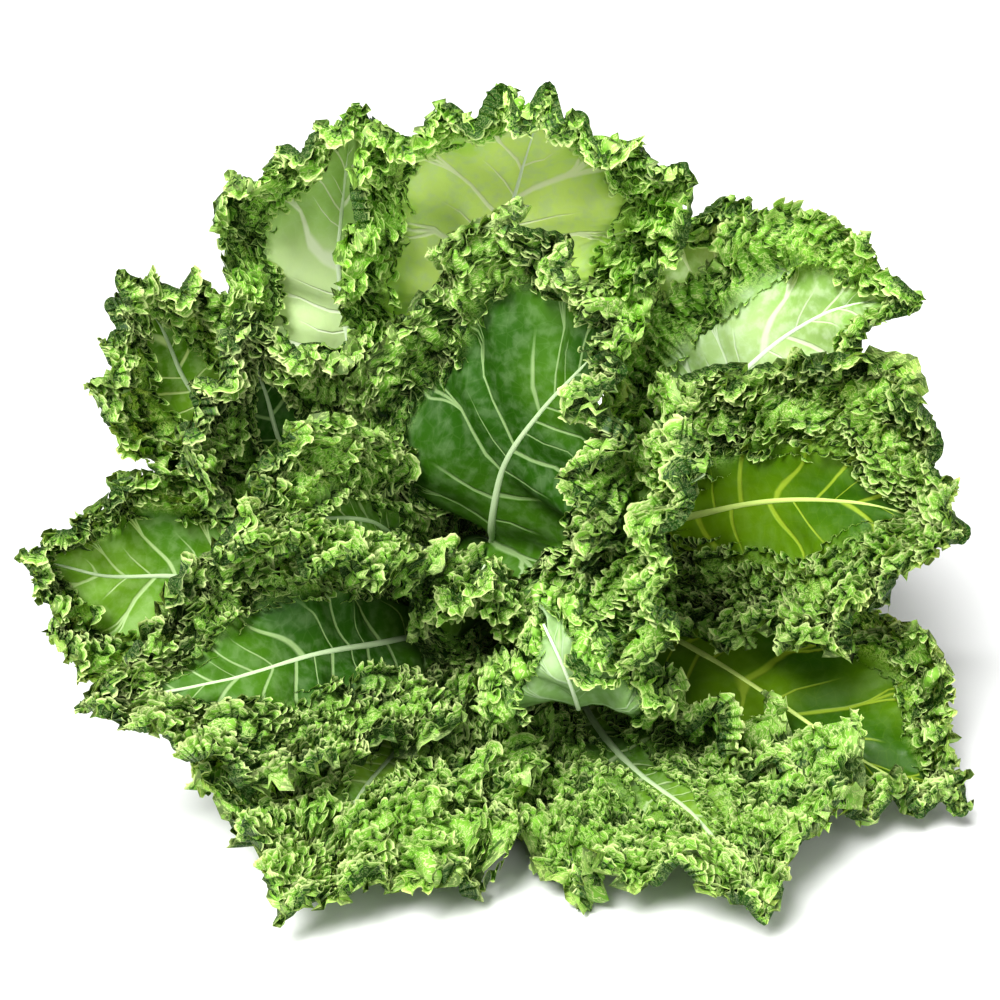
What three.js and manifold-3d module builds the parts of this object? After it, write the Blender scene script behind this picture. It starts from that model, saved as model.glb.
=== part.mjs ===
// A bunch of cut curly kale, lying on a surface with its leaves towards -Y and its stems towards +Y.
// Millimetres, +Z up. Z = 0 is the surface. The leaves are laid out from X = 0 at the middle of the
// band, and at the end the whole bunch is moved so that the middle of its footprint is the origin.

import * as THREE from 'three';
import { mergeVertices } from 'three/addons/utils/BufferGeometryUtils.js';
import Module from 'manifold-3d';

const wasm = await Module();
wasm.setup();

// Stems: they lie in rows, like pencils in a hand, and spread a little towards their cut ends
const bandY = 112;
const bandAxisZ = 36;
const cutY = 205;
const cutAxisZ = 25.6;
const pitchAtBand = 10.2;
const pitchAtCut = 12.6;
const rowRise = Math.sqrt(3) / 2;
const stemRadiusAtCut = 5.8;
const stemRadiusAtBand = 4.7;
const stemRadiusAtBlade = 3.4;
const midribRadiusAtTip = 0.7;
const midribDepth = 1.3;
const stemSides = 6;
const stemSteps = 9;
const stemRunIntoBlade = 10;

// Blades: rays run out from the midrib like side veins, and the frill is the wave at their ends
const bladeThickness = 1.4;
const raysPerSide = 18;
const ringsAlongRay = [0.5, 0.8, 1];
const frillShareOfWidth = 0.16;
const frillShareAtRing = [0.06, 0.4, 1];
const rimSlope = (frillShareAtRing[2] - frillShareAtRing[1]) / (ringsAlongRay[2] - ringsAlongRay[1]);
const openAngle = THREE.MathUtils.degToRad(76);
const baseReach = 0.22;
const tipReach = 0.48;
const lobeDepth = 0.1;
const lobesPerSide = 3;

// Where two leaves press on each other, one gives way by this gap
const pressGap = 0.35;

// Band: a flat strip of rubber
const bandWidth = 6;
const bandThickness = 1.6;
const bandClearance = 1;

const groundSize = 1000;

// Slivers that joining and cutting leave are flatter than this, and are merged into their neighbours
const sliverHeight = 0.02;

const bandColor = 0x5d86b8;
const leafColors = { green: 0x6f9c3c, deep: 0x4f7f2c, bright: 0x8aa825, pale: 0x9dbd82 };

// Each leaf: its place among the stems [across, row], the points that its midrib passes after the band,
// the side that its upper face looks to, its blade's length and half width, and how much the blade is cupped
const leaves = [
  { name: 'leaf_top', slot: [0, 2], length: 205, width: 76,
    face: [0.06, -1, 0.1], cup: 0.18,
    rib: [[-8, 58, 116], [-6, 48, 180], [3, 38, 225], [12, 24, 262], [20, 0, 300]] },
  { name: 'leaf_upper_left', tint: 'pale', slot: [-1, 2], length: 188, width: 60,
    face: [0.2, -1, 0.1], cup: -0.1,
    rib: [[-44, 76, 96], [-67, 72, 142], [-74, 68, 193], [-71, 62, 227], [-64, 52, 278]] },
  { name: 'leaf_upper_back', tint: 'pale', slot: [1, 2], length: 150, width: 40,
    face: [-0.2, -1, 0], cup: 0,
    rib: [[48, 78, 84], [86, 80, 140], [102, 76, 190], [112, 66, 226]] },
  { name: 'leaf_left_upper', slot: [-1.5, 1], length: 190, width: 46,
    face: [0.2, -0.9, 0.3], cup: 0.2,
    rib: [[-66, 60, 80], [-138, 38, 142], [-152, 28, 181], [-170, 12, 214]] },
  { name: 'leaf_left_middle', tint: 'deep', slot: [-0.5, 1], length: 180, width: 50,
    face: [0.3, -0.9, 0.2], cup: 0.2,
    rib: [[-38, 45, 80], [-92, 10, 120], [-103, -6, 164], [-112, -26, 208]] },
  { name: 'leaf_centre', tint: 'deep', slot: [0.5, 1], length: 205, width: 66,
    face: [-0.1, -0.8, 0.6], cup: 0.2,
    rib: [[-4, 8, 88], [2, -12, 130], [17, -28, 161], [34, -45, 188], [50, -76, 218]] },
  { name: 'leaf_upper_right', tint: 'pale', slot: [1.5, 1], length: 190, width: 42,
    face: [-0.2, -0.9, 0.5], cup: -0.3,
    rib: [[64, 52, 98], [104, 34, 150], [130, 24, 179], [154, 12, 196], [180, -6, 202]] },
  { name: 'leaf_left_edge', tint: 'deep', slot: [-2, 0], length: 178, width: 54,
    face: [0.1, -0.9, 0.4], cup: 0.1,
    rib: [[-94, 36, 42], [-150, 16, 62], [-179, 4, 68], [-198, -2, 76], [-218, -8, 84]] },
  { name: 'leaf_inner_left', slot: [-1, 0], length: 205, width: 48,
    face: [0.2, -0.7, 0.7], cup: 0.5,
    rib: [[-40, 6, 82], [-58, -44, 118], [-82, -82, 134], [-114, -114, 134]] },
  { name: 'leaf_small_centre', slot: [0, 0], length: 120, width: 28,
    face: [0.2, -1, 0.3], cup: 0.2,
    rib: [[-5, 40, 49], [-11, 2, 56], [-17, -34, 70], [-12, -56, 90], [-4, -66, 112]] },
  { name: 'leaf_inner_right', slot: [1, 0], length: 210, width: 52,
    face: [-0.3, -0.5, 0.6], cup: -0.6,
    rib: [[27, 0, 66], [43, -42, 101], [62, -82, 140], [86, -118, 176]] },
  { name: 'leaf_right', tint: 'bright', slot: [2, 0], length: 200, width: 68,
    face: [-0.2, -0.9, 0.4], cup: 0.3,
    rib: [[65, 30, 80], [115, -12, 112], [140, -32, 122], [162, -48, 126], [196, -68, 122]] },
  { name: 'leaf_lower_left', slot: [-1.5, -1], length: 235, width: 60,
    face: [0.1, -0.75, 0.65], cup: 0.3,
    rib: [[-20, 34, 30], [-46, -40, 58], [-78, -84, 74], [-112, -110, 76], [-170, -126, 72]] },
  { name: 'leaf_small_front', tint: 'pale', slot: [0.5, -1], length: 190, width: 36,
    face: [0, 0.7, 0.7], cup: -0.2,
    rib: [[16, 20, 30], [30, -40, 38], [33, -90, 52], [26, -110, 82], [13, -104, 110]] },
  { name: 'leaf_lower_right', tint: 'bright', slot: [1.5, -1], length: 210, width: 66,
    face: [0, -0.38, 0.92], cup: 0.6,
    rib: [[48, 24, 40], [83, -12, 42], [122, -48, 32], [160, -82, 19], [196, -106, 10]] },
  { name: 'leaf_floor_left', slot: [-1, -2], length: 235, width: 66,
    face: [0, -0.4, 0.9], cup: -0.4,
    rib: [[-28, 20, 12], [-42, -70, 24], [-57, -128, 33], [-72, -166, 24], [-88, -196, 5]] },
  { name: 'leaf_floor_right', slot: [1, -2], length: 240, width: 72,
    face: [0, -0.4, 0.9], cup: -0.4,
    rib: [[30, 20, 10], [57, -70, 17], [80, -130, 28], [94, -168, 26], [106, -196, 5]] },
];

// A repeatable draw between 0 and 1
function drawFrom(seed) {
  let state = seed;
  return () => {
    state = (state * 1664525 + 1013904223) % 4294967296;
    return state / 4294967296;
  };
}

function stemPlace([across, row], pitch, axisZ, y) {
  return new THREE.Vector3(across * pitch, y, axisZ + row * rowRise * pitch);
}

function midribCurve(leaf) {
  const cut = stemPlace(leaf.slot, pitchAtCut, cutAxisZ, cutY);
  const held = stemPlace(leaf.slot, pitchAtBand, bandAxisZ, bandY);
  const halfway = cut.clone().lerp(held, 0.6);
  const pastBand = held.clone().add(held.clone().sub(halfway).multiplyScalar(0.5));
  const free = leaf.rib.map((point) => new THREE.Vector3(...point));
  const curve = new THREE.CatmullRomCurve3([cut, halfway, held, pastBand, ...free]);
  curve.arcLengthDivisions = 400;
  return curve;
}

// Along, across and out of the blade at a distance from the stem's cut end
function frameAt(leaf, curve, distance) {
  const share = THREE.MathUtils.clamp(distance / curve.getLength(), 0, 1);
  const along = curve.getTangentAt(share);
  const out = new THREE.Vector3(...leaf.face);
  out.addScaledVector(along, -out.dot(along)).normalize();
  const across = along.clone().cross(out);
  return { origin: curve.getPointAt(share), along, across, out };
}

// Half width of the blade along a ray, from 0 at its base to 1 at its tip
function reachAt(leaf, share) {
  const body = Math.sin(Math.PI * share ** 1.35);
  const rise = baseReach + (1 - baseReach) * body ** 0.8;
  const lobe = 1 + lobeDepth * Math.cos(2 * Math.PI * lobesPerSide * share);
  return leaf.width * THREE.MathUtils.lerp(rise * lobe, tipReach, share ** 6);
}

// A place on the blade: side is -1 or 1, share goes from base to tip, ring from midrib to frill
function bladePoint(leaf, curve, side, share, ring, wave) {
  const start = curve.getLength() - leaf.length;
  const reach = reachAt(leaf, share);
  const rootEnd = leaf.length - leaf.width * tipReach;
  const angle = openAngle * (1 - share ** 2.4);
  const distance = start + rootEnd * share + reach * ring * Math.cos(angle);
  const spread = side * reach * ring * Math.sin(angle);
  const frame = frameAt(leaf, curve, distance);
  const bend = leaf.cup / leaf.width;
  const turn = spread * bend;
  const flat = Math.abs(bend) < 1e-6;
  const over = flat ? spread : Math.sin(turn) / bend;
  const lift = flat ? 0 : (1 - Math.cos(turn)) / bend;
  const normal = frame.out.clone().multiplyScalar(Math.cos(turn));
  normal.addScaledVector(frame.across, -Math.sin(turn));
  const point = frame.origin.clone();
  point.addScaledVector(frame.across, over).addScaledVector(frame.out, lift);
  point.addScaledVector(normal, wave);
  return { point, normal };
}

function toSolid(geometry) {
  const bare = geometry.clone();
  bare.deleteAttribute('normal');
  bare.deleteAttribute('uv');
  const merged = mergeVertices(bare, 1e-4);
  return new wasm.Manifold(new wasm.Mesh({
    numProp: 3,
    vertProperties: Float32Array.from(merged.attributes.position.array),
    triVerts: Uint32Array.from(merged.index.array),
  }));
}

function toGeometry(solid) {
  const { vertProperties, triVerts } = solid.simplify(sliverHeight).getMesh();
  const geometry = new THREE.BufferGeometry();
  geometry.setAttribute('position', new THREE.BufferAttribute(vertProperties, 3));
  geometry.setIndex(new THREE.BufferAttribute(triVerts, 1));
  geometry.computeVertexNormals();
  return geometry;
}

// The columns of places from one edge of the blade's base, round the tip, to the other edge
function bladeColumns(leaf, curve, grow) {
  const draw = drawFrom(leaf.name.length * 7919 + Math.round(leaf.width * 31 + leaf.length));
  const columnsOf = (side) => {
    const columns = [];
    for (let step = 0; step <= raysPerSide; step += 1) {
      const share = step / raysPerSide;
      const height = leaf.width * frillShareOfWidth * (0.75 + 0.5 * draw()) * (step % 2 ? 1 : -1);
      const ribEdge = midribRadius(share) / reachAt(leaf, share);
      const column = [bladePoint(leaf, curve, side, share, 0, 0)];
      column.push(bladePoint(leaf, curve, side, share, ribEdge, 0));
      ringsAlongRay.forEach((ring, i) => {
        column.push(bladePoint(leaf, curve, side, share, ring, height * frillShareAtRing[i]));
      });
      if (grow > 0) {
        const past = 2 * grow / reachAt(leaf, share);
        column.push(bladePoint(leaf, curve, side, share, 1 + past, height * (1 + past * rimSlope)));
      }
      column.share = share;
      columns.push(column);
    }
    if (grow > 0) columns.unshift(movedBack(columns[0], leaf, curve, 2 * grow));
    return columns;
  };
  const right = columnsOf(1).slice(0, -1).reverse();
  return [...columnsOf(-1), ...right];
}

// A column moved towards the stem, to widen the blade at its base
function movedBack(column, leaf, curve, by) {
  const { along } = frameAt(leaf, curve, curve.getLength() - leaf.length);
  const moved = column.map(({ point, normal }) => {
    const back = point.clone().addScaledVector(along, -by);
    return { point: back, normal };
  });
  moved.share = column.share;
  return moved;
}

// The blade as two faces split alike, joined by a rim, with the midrib as a keel under the middle
function bladeSolid(leaf, curve, grow) {
  const columns = bladeColumns(leaf, curve, grow);
  const half = bladeThickness / 2 + grow;
  const lay = (place, way, extra) => {
    const point = place.point.clone().addScaledVector(place.normal, way * (half + extra));
    const least = way < 0 ? -grow : bladeThickness + grow;
    point.z = Math.max(point.z, least);
    return point;
  };
  const keelAt = (column, ring) => (ring === 0 ? midribRadius(column.share) * midribDepth : 0);
  const top = columns.map((column) => column.map((place) => lay(place, 1, 0)));
  const under = columns.map((column) => column.map((place, ring) => lay(place, -1, keelAt(column, ring))));
  const lastRing = top[0].length - 1;
  const last = columns.length - 1;
  const faces = [];
  const quad = (a, b, c, d) => faces.push(a, b, c, a, c, d);
  for (let i = 0; i < last; i += 1) {
    for (let ring = 0; ring < lastRing; ring += 1) {
      quad(top[i + 1][ring], top[i + 1][ring + 1], top[i][ring + 1], top[i][ring]);
      quad(under[i][ring + 1], under[i + 1][ring + 1], under[i + 1][ring], under[i][ring]);
    }
    quad(top[i][lastRing], top[i + 1][lastRing], under[i + 1][lastRing], under[i][lastRing]);
  }
  for (let ring = 0; ring < lastRing; ring += 1) {
    quad(top[0][ring], top[0][ring + 1], under[0][ring + 1], under[0][ring]);
    quad(top[last][ring + 1], top[last][ring], under[last][ring], under[last][ring + 1]);
  }
  return facesToSolid(faces);
}

function facesToSolid(corners) {
  const geometry = new THREE.BufferGeometry().setFromPoints(corners);
  return toSolid(geometry);
}

function midribRadius(share) {
  return THREE.MathUtils.lerp(stemRadiusAtBlade, midribRadiusAtTip, Math.sqrt(share));
}

function stemRadiusAt(leaf, curve, distance) {
  const atBand = cutY - bandY;
  const atBlade = curve.getLength() - leaf.length;
  const { lerp } = THREE.MathUtils;
  if (distance < atBand) return lerp(stemRadiusAtCut, stemRadiusAtBand, distance / atBand);
  const beyond = Math.min((distance - atBand) / (atBlade - atBand), 1);
  return lerp(stemRadiusAtBand, stemRadiusAtBlade, beyond);
}

// The stem, as a tapering tube from its cut end to just inside the blade
function stemSolid(leaf, curve, grow) {
  const end = curve.getLength() - leaf.length + stemRunIntoBlade;
  const loops = [];
  for (let step = 0; step <= stemSteps; step += 1) {
    const distance = end * step / stemSteps;
    const radius = (stemRadiusAt(leaf, curve, distance) + grow) * (step === stemSteps ? 0.5 : 1);
    const frame = frameAt(leaf, curve, distance);
    const loop = [];
    for (let corner = 0; corner < stemSides; corner += 1) {
      const angle = 2 * Math.PI * (corner + 0.5) / stemSides;
      const point = frame.origin.clone();
      point.addScaledVector(frame.across, radius * Math.sin(angle));
      point.addScaledVector(frame.out, radius * Math.cos(angle));
      loop.push(point);
    }
    loops.push(loop);
  }
  const faces = [];
  for (let step = 0; step < stemSteps; step += 1) {
    for (let corner = 0; corner < stemSides; corner += 1) {
      const next = (corner + 1) % stemSides;
      faces.push(loops[step][corner], loops[step][next], loops[step + 1][next]);
      faces.push(loops[step][corner], loops[step + 1][next], loops[step + 1][corner]);
    }
  }
  for (let corner = 1; corner + 1 < stemSides; corner += 1) {
    faces.push(loops[0][0], loops[0][corner + 1], loops[0][corner]);
    faces.push(loops[stemSteps][0], loops[stemSteps][corner], loops[stemSteps][corner + 1]);
  }
  return aboveSurface(facesToSolid(faces));
}

// What would sink into the surface is pressed flat on it
function aboveSurface(solid) {
  if (solid.boundingBox().min[2] >= 0) return solid;
  const below = new THREE.BoxGeometry(groundSize, groundSize, groundSize);
  below.translate(0, 0, -groundSize / 2);
  return solid.subtract(toSolid(below));
}

function leafSolid(leaf, grow = 0) {
  const curve = midribCurve(leaf);
  return bladeSolid(leaf, curve, grow).add(stemSolid(leaf, curve, grow));
}

function largestBody(solid) {
  return solid.decompose().reduce((a, b) => (a.volume() > b.volume() ? a : b));
}

// Every leaf, where a later one gives way to those before it that it presses on
function settledLeaves() {
  const settled = [];
  for (const leaf of leaves) {
    let solid = leafSolid(leaf);
    for (const earlier of settled) {
      const overlap = solid.intersect(earlier.thick).volume();
      if (overlap > 0) solid = largestBody(solid.subtract(earlier.thick));
    }
    settled.push({ leaf, solid, thick: leafSolid(leaf, pressGap) });
  }
  return settled;
}

// The outline of a band pulled round the outermost stems: an arc at each of the six corners
function bandOutline(path, radius) {
  const corners = [[2, 0], [1, 2], [-1, 2], [-2, 0], [-1, -2], [1, -2]];
  corners.forEach(([across, row], i) => {
    const place = stemPlace([across, row], pitchAtBand, 0, 0);
    const middle = i * Math.PI / 3;
    path.absarc(place.x, place.z, radius, middle - Math.PI / 6, middle + Math.PI / 6, false);
  });
  path.closePath();
  return path;
}

function bandMesh() {
  const inner = stemRadiusAtBand + bandClearance;
  const outline = bandOutline(new THREE.Shape(), inner + bandThickness);
  outline.holes.push(bandOutline(new THREE.Path(), inner));
  const settings = { depth: bandWidth, bevelEnabled: false, curveSegments: 4 };
  const rubber = new THREE.MeshStandardMaterial({ color: bandColor, roughness: 0.6, metalness: 0 });
  const mesh = new THREE.Mesh(new THREE.ExtrudeGeometry(outline, settings), rubber);
  mesh.name = 'rubber_band';
  mesh.rotation.x = Math.PI / 2;
  mesh.position.set(0, bandY + bandWidth / 2, bandAxisZ);
  return mesh;
}

function leafMesh({ leaf, solid }) {
  const color = leafColors[leaf.tint ?? 'green'];
  const material = new THREE.MeshStandardMaterial({ color, roughness: 0.55, metalness: 0 });
  const mesh = new THREE.Mesh(toGeometry(solid), material);
  mesh.name = leaf.name;
  return mesh;
}

// The middle of the whole bunch's footprint becomes the origin
function centreOnSurface(object) {
  const middle = new THREE.Box3().setFromObject(object).getCenter(new THREE.Vector3());
  object.position.set(-middle.x, -middle.y, 0);
}

const group = new THREE.Group();
group.add(...settledLeaves().map(leafMesh), bandMesh());
centreOnSurface(group);

export default group;
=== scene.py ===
import math
import bmesh
import bpy
import numpy as np
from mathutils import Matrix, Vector


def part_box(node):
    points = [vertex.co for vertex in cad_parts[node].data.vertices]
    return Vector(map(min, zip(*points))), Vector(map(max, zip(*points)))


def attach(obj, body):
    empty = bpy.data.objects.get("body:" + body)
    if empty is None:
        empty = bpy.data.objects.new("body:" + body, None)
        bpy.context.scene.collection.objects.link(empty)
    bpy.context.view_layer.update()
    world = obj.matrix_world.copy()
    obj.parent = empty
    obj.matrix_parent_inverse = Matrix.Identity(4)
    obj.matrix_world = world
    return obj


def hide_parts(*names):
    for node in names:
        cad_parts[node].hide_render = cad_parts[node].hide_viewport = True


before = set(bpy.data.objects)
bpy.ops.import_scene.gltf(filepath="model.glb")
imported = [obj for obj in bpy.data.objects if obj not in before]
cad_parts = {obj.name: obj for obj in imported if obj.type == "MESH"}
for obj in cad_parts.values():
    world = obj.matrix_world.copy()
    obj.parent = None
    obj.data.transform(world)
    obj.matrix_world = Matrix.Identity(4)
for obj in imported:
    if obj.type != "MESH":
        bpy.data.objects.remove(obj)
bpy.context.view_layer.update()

mm = 0.001
scene = bpy.context.scene

print("stage: camera, lights and floor")

camera = {
    "aim": (0, -60, 134.5),  # mm, in the layout that the leaves are given in
    "elevation": 24,  # degrees
    "distance": 1000,  # mm
    "lens": 85.7,  # mm on a 36 mm sensor
}

light = {
    "world": 0.22,
    "backdrop": 1.0,  # what the camera sees past the floor
    "sun": 4.5,
    "sunAngle": 26,  # degrees, a large soft source
    "sunFrom": (-0.38, -0.72, 1.0),
    "fill": 5,  # W
    "fillSize": 0.9,
    "fillAt": (0.45, -1.15, 0.65),
}

floorSize = 30  # m

# The leaves are laid out from the middle of the band, which the frame gives
bandLow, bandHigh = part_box("rubber_band")
bandY = 112
layoutShift = np.array([
    (bandLow[0] + bandHigh[0]) / 2 / mm,
    (bandLow[1] + bandHigh[1]) / 2 / mm - bandY,
    0.0,
])


def placed(point):
    return Vector((np.array(point, float) + layoutShift) * mm)


def makeCamera():
    data = bpy.data.cameras.new("camera")
    data.lens = camera["lens"]
    data.sensor_width = 36
    data.clip_end = 50
    tilt = math.radians(camera["elevation"])
    away = Vector((0, -math.cos(tilt), math.sin(tilt)))
    eye = bpy.data.objects.new("camera", data)
    eye.location = placed(camera["aim"]) + away * camera["distance"] * mm
    eye.rotation_euler = (math.radians(90) - tilt, 0, 0)
    scene.collection.objects.link(eye)
    scene.camera = eye


def makeLights():
    world = bpy.data.worlds.new("studio")
    world.use_nodes = True
    sky = world.node_tree.nodes["Background"]
    sky.inputs["Color"].default_value = (1, 1, 1, 1)
    seen = world.node_tree.nodes.new("ShaderNodeLightPath")
    strength = world.node_tree.nodes.new("ShaderNodeMapRange")
    strength.inputs["To Min"].default_value = light["world"]
    strength.inputs["To Max"].default_value = light["backdrop"]
    world.node_tree.links.new(seen.outputs["Is Camera Ray"], strength.inputs["Value"])
    world.node_tree.links.new(strength.outputs[0], sky.inputs["Strength"])
    scene.world = world
    sunData = bpy.data.lights.new("sun", "SUN")
    sunData.energy = light["sun"]
    sunData.angle = math.radians(light["sunAngle"])
    sun = bpy.data.objects.new("sun", sunData)
    sun.rotation_euler = Vector(light["sunFrom"]).to_track_quat("Z", "Y").to_euler()
    scene.collection.objects.link(sun)
    fillData = bpy.data.lights.new("fill", "AREA")
    fillData.energy = light["fill"]
    fillData.size = light["fillSize"]
    fill = bpy.data.objects.new("fill", fillData)
    fill.location = light["fillAt"]
    aim = placed(camera["aim"]) - fill.location
    fill.rotation_euler = aim.to_track_quat("-Z", "Y").to_euler()
    scene.collection.objects.link(fill)


def makeFloor():
    bm = bmesh.new()
    bmesh.ops.create_grid(bm, x_segments=1, y_segments=1, size=floorSize / 2)
    mesh = bpy.data.meshes.new("floor")
    bm.to_mesh(mesh)
    bm.free()
    floor = bpy.data.objects.new("floor", mesh)
    scene.collection.objects.link(floor)
    paint = bpy.data.materials.new("paleFloor")
    paint.use_nodes = True
    shader = paint.node_tree.nodes["Principled BSDF"]
    shader.inputs["Base Color"].default_value = (0.92, 0.92, 0.92, 1)
    shader.inputs["Roughness"].default_value = 0.9
    shader.inputs["Specular IOR Level"].default_value = 0.1
    mesh.materials.append(paint)


makeCamera()
makeLights()
makeFloor()
scene.view_settings.view_transform = "Standard"
scene.view_settings.look = "Medium High Contrast"

print("stage: leaf materials")


# Short ways to add nodes and join them
class Tree:
    def __init__(self, tree):
        self.tree = tree

    def add(self, kind, **settings):
        node = self.tree.nodes.new(kind)
        for name, value in settings.items():
            setattr(node, name, value)
        return node

    def feed(self, socket, value):
        if isinstance(value, bpy.types.NodeSocket):
            self.tree.links.new(value, socket)
        else:
            socket.default_value = value

    def math(self, operation, *values):
        node = self.add("ShaderNodeMath", operation=operation)
        for i, value in enumerate(values):
            self.feed(node.inputs[i], value)
        return node.outputs[0]

    def remap(self, value, low, high, outLow=0.0, outHigh=1.0):  # smooth step from low to high
        node = self.add("ShaderNodeMapRange", interpolation_type="SMOOTHSTEP")
        for name, given in zip(("Value", "From Min", "From Max", "To Min", "To Max"),
                               (value, low, high, outLow, outHigh)):
            self.feed(node.inputs[name], given)
        return node.outputs[0]

    def mix(self, share, a, b, blend="MIX"):
        node = self.add("ShaderNodeMix", data_type="RGBA", blend_type=blend)
        self.feed(node.inputs[0], share)
        self.feed(node.inputs[6], a)
        self.feed(node.inputs[7], b)
        return node.outputs[2]

    def noise(self, vector, scale, detail=2.0, dimensions="2D"):
        node = self.add("ShaderNodeTexNoise", noise_dimensions=dimensions)
        self.feed(node.inputs["Vector"], vector)
        node.inputs["Scale"].default_value = scale
        node.inputs["Detail"].default_value = detail
        return node.outputs["Fac"]

    def uv(self, name):
        return self.add("ShaderNodeUVMap", uv_map=name).outputs[0]


veins = {
    "spacingAtRib": 22.0,  # mm along the midrib
    "spacingGrowth": 9.0,  # mm more at the edge
    "widthAtRib": 0.95,  # mm, half
    "widthAtEdge": 0.24,
    "forkAt": 0.34,  # share of the way from midrib to edge
    "forkSpread": 0.24,  # of the spacing
    "forkAgainAt": 0.62,
    "forkAgainSpread": 0.1,
    "netScale": 1.9,  # cells per cm
}


# Side veins that fork, and the fine net between them, from the rays' own coordinates
def makeVeinGroup():
    tree = bpy.data.node_groups.new("veinPattern", "ShaderNodeTree")
    for name in ("veins", "net", "edge"):
        tree.interface.new_socket(name, in_out="OUTPUT", socket_type="NodeSocketFloat")
    t = Tree(tree)
    split = t.add("ShaderNodeSeparateXYZ")
    t.feed(split.inputs[0], t.uv("rays"))
    along, out = split.outputs[0], split.outputs[1]
    flat = t.uv("flat")
    place = t.math("FRACT", along)
    off = t.math("ABSOLUTE", t.math("SUBTRACT", place, 0.5))
    spacing = t.math("MULTIPLY_ADD", out, veins["spacingGrowth"], veins["spacingAtRib"])
    width = t.remap(out, 0.0, 1.0, veins["widthAtRib"], veins["widthAtEdge"])

    def line(offset, share):
        away = t.math("MULTIPLY", offset, spacing)
        half = t.math("MULTIPLY", width, share)
        inner, outer = t.math("MULTIPLY", half, 0.45), t.math("MULTIPLY", half, 1.5)
        return t.math("SUBTRACT", 1.0, t.remap(away, inner, outer))

    def spread(start, most):
        return t.math("MULTIPLY", t.math("POWER", t.remap(out, start, 1.15), 0.75), most)

    main = line(off, 1.0)
    main = t.math("MULTIPLY", main, t.remap(out, 0.85, 0.6))
    fork = t.math("ABSOLUTE", t.math("SUBTRACT", off, spread(veins["forkAt"], veins["forkSpread"])))
    begun = t.remap(out, veins["forkAt"] - 0.02, veins["forkAt"] + 0.02)
    forked = t.math("MULTIPLY", line(fork, 0.75), begun)
    again = t.math("ABSOLUTE", t.math("SUBTRACT", fork, spread(veins["forkAgainAt"], veins["forkAgainSpread"])))
    begun = t.remap(out, veins["forkAgainAt"], veins["forkAgainAt"] + 0.03)
    againLine = t.math("MULTIPLY", line(again, 0.6), begun)
    between = t.math("SUBTRACT", 0.5, off)
    short = t.math("MULTIPLY", line(between, 0.5), t.remap(out, 0.45, 0.2))
    total = t.math("MAXIMUM", t.math("MAXIMUM", main, forked), t.math("MAXIMUM", againLine, short))

    cells = t.add("ShaderNodeTexVoronoi", feature="DISTANCE_TO_EDGE", voronoi_dimensions="2D")
    t.feed(cells.inputs["Vector"], flat)
    cells.inputs["Scale"].default_value = veins["netScale"]
    nets = t.math("SUBTRACT", 1.0, t.remap(cells.outputs["Distance"], 0.0, 0.08))
    ends = t.add("NodeGroupOutput")
    t.feed(ends.inputs["veins"], total)
    t.feed(ends.inputs["net"], nets)
    t.feed(ends.inputs["edge"], out)
    return tree


veinPattern = makeVeinGroup()

leafFinish = {
    "rough": 0.5,
    "specular": 0.3,
    "relief": 0.5,  # mm
    "bump": 0.55,
    "veinRelief": -1.2,  # of the relief
    "curlRelief": 1.6,
    "mottleScale": 1.7,  # patches in a cm
    "curlScale": 8.0,  # small curls in a cm
    "netShare": 0.045,
    "veinShare": 0.85,
    "underShare": 0.5,
    "rimFrom": 0.945, "rimTo": 1.02,  # share of the way from midrib to edge
    "rimShare": 0.95,
}

# Each look: the blade's colours, how much whitish bloom it has, the share of light that passes through it,
# and the finish of its stem and midrib
leafTints = {
    "leaf_green": {"dark": (0.10, 0.25, 0.015), "light": (0.24, 0.43, 0.045), "vein": (0.58, 0.74, 0.38),
                   "bloom": 0.2, "glow": 0.22, "stem": "stem"},
    "leaf_deep": {"dark": (0.03, 0.11, 0.005), "light": (0.075, 0.2, 0.012), "vein": (0.38, 0.54, 0.24),
                  "bloom": 0.1, "glow": 0.15, "stem": "stem"},
    "leaf_bright": {"dark": (0.045, 0.135, 0.003), "light": (0.14, 0.27, 0.006), "vein": (0.36, 0.50, 0.05),
                    "bloom": 0.03, "glow": 0.28, "stem": "stemYellow"},
    "leaf_pale": {"dark": (0.26, 0.46, 0.11), "light": (0.46, 0.64, 0.27), "vein": (0.74, 0.86, 0.62),
                  "bloom": 0.6, "glow": 0.2, "stem": "stemLight"},
    # The next three looks are brighter copies of a slot's colours: painted light on the leaves that take them
    "topPaintedLight": {"dark": (0.46, 0.76, 0.10), "light": (0.72, 0.93, 0.26), "vein": (0.90, 0.98, 0.66),
                 "bloom": 0.4, "glow": 0.08, "stem": "stemLight"},
    "edgePaintedLight": {"dark": (0.07, 0.20, 0.012), "light": (0.17, 0.35, 0.03), "vein": (0.50, 0.68, 0.34),
                  "bloom": 0.15, "glow": 0.2, "stem": "stem"},
    "backPaintedLight": {"dark": (0.44, 0.66, 0.22), "light": (0.70, 0.86, 0.48), "vein": (0.90, 0.97, 0.80),
                  "bloom": 0.2, "glow": 0.08, "stem": "stemLight"},
}
bloomColor = (0.62, 0.78, 0.50, 1)
underColor = (0.30, 0.48, 0.20, 1)
# The frill's colours: painted shade for the valleys of its folds, its own green, and pale tips that also serve as
# painted highlights on crests and curls
frillPaintedShade = (0.018, 0.07, 0.005, 1)
frillMid = (0.27, 0.57, 0.065, 1)
frillTipAndHighlight = (0.80, 0.94, 0.40, 1)
throughTint = (1.7, 1.6, 0.7, 1)  # what passing through the leaf does to light


def opaque(color):
    return (*color, 1)


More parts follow.
